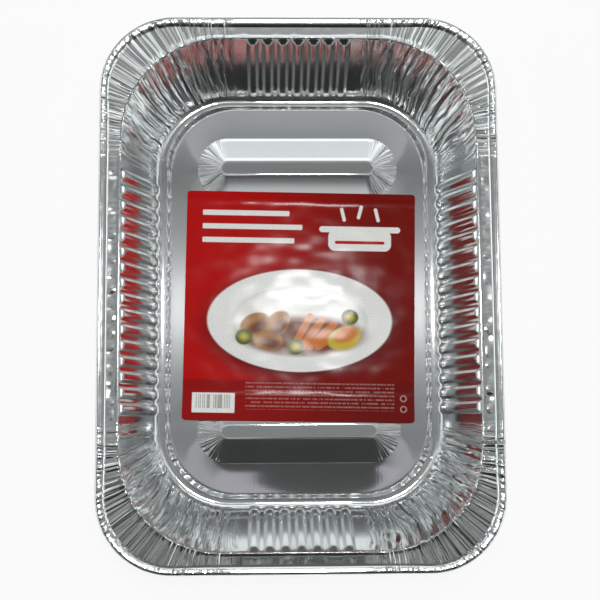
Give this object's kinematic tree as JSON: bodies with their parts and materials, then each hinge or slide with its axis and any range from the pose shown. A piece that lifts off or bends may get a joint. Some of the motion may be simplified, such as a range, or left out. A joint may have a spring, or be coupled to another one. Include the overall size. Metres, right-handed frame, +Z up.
{
  "type": "foil roasting pan",
  "caption": "Rectangular disposable roasting pan of pressed aluminium foil with fluted walls, gathered corners, a rolled rim and ribs in its floor, holding a loose paper label.",
  "frame": {"origin": "centre of the pan's box, on the plane that the pan stands on", "axes": "+Z up out of the pan, +Y along its longer side, +X across it"},
  "size_m": [0.2886, 0.4, 0.063],
  "materials": {
    "foil": "bright rolled foil",
    "label": "glossy printed paper"
  },
  "bodies": {
    "root": {"foil_pan": "foil", "label": "label"}
  },
  "joints": []
}
